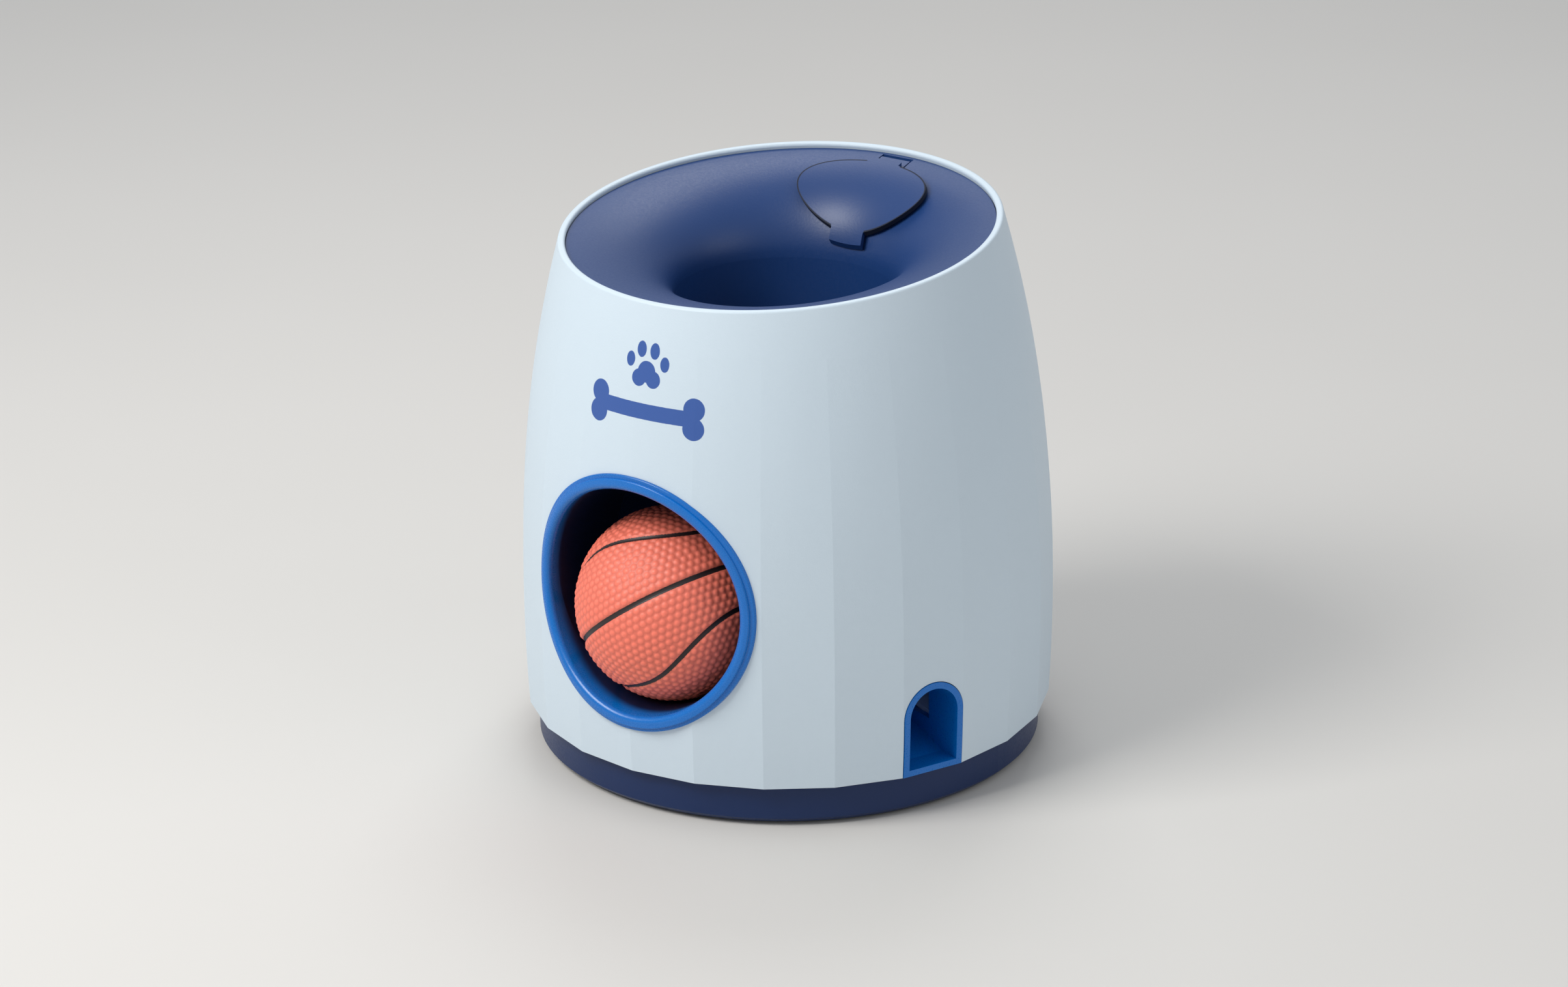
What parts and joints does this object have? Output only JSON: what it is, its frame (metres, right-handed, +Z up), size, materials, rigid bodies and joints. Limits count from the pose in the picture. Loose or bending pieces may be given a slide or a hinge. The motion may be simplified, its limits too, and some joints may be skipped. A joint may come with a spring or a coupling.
{
  "type": "dog puzzle toy",
  "caption": "Faceted tapered casing with a slanted funnel, a hinged filling lid, a round ball outlet with a ball, and a small arched treat outlet fed by a ball-struck dosing drum.",
  "frame": {"origin": "on the floor under the middle of the casing, at the level of the feet", "axes": "+Z up out of the funnel, -Y out of the ball outlet, +Y towards the filling lid hinge; the treat outlet looks between -Y and +X"},
  "size_m": [0.17, 0.177, 0.1768],
  "materials": {
    "shell_plastic": "matte pale blue-grey with a fine moulded texture",
    "funnel_plastic": "satin dark blue",
    "navy_plastic": "matte navy",
    "ring_plastic": "satin bright blue",
    "inner_plastic": "plain pale moulding",
    "drum_plastic": "plain off-white moulding",
    "steel": "bright zinc",
    "bush_plastic": "natural acetal",
    "foot_rubber": "matte",
    "ball_rubber": "pebbled coral rubber"
  },
  "bodies": {
    "casing": {"outer_shell": "shell_plastic", "funnel_cover": "funnel_plastic", "lid_hinge_pin": "steel", "ball_outlet_liner": "ring_plastic", "ball_chute": "navy_plastic", "axle_bushes": "bush_plastic", "drum_housing": "inner_plastic", "treat_hopper": "inner_plastic", "treat_slide": "inner_plastic", "treat_outlet_liner": "ring_plastic", "base_tray": "navy_plastic", "rubber_feet": "foot_rubber", "shell_screws": "steel", "chute_screws": "steel", "hopper_screws": "steel", "housing_screws": "steel", "slide_screws": "steel"},
    "lid": {"treat_lid": "funnel_plastic"},
    "doser": {"strike_paddle": "drum_plastic", "dosing_drum": "drum_plastic", "doser_axle": "steel", "axle_clips": "steel", "return_spring": "steel"},
    "ball": {"toy_ball": "ball_rubber"}
  },
  "joints": [
    {"name": "lid_hinge", "type": "hinge", "parent": "casing", "child": "lid", "pos_m": [0, 0.0602, 0.1719], "axis": [-1, 0, 0], "range_deg": [0, 90]},
    {"name": "doser_turn", "type": "hinge", "parent": "casing", "child": "doser", "pos_m": [0, 0.042, 0.1], "axis": [1, 0, 0], "range_deg": [0, 80], "stiffness_Nm_per_rad": 0.0015, "springref_deg": -68.75},
    {"name": "ball_way_out", "type": "slide", "parent": "casing", "child": "ball", "axis": [0, -0.9903, 0.1392], "range_m": [0, 0.12]}
  ]
}
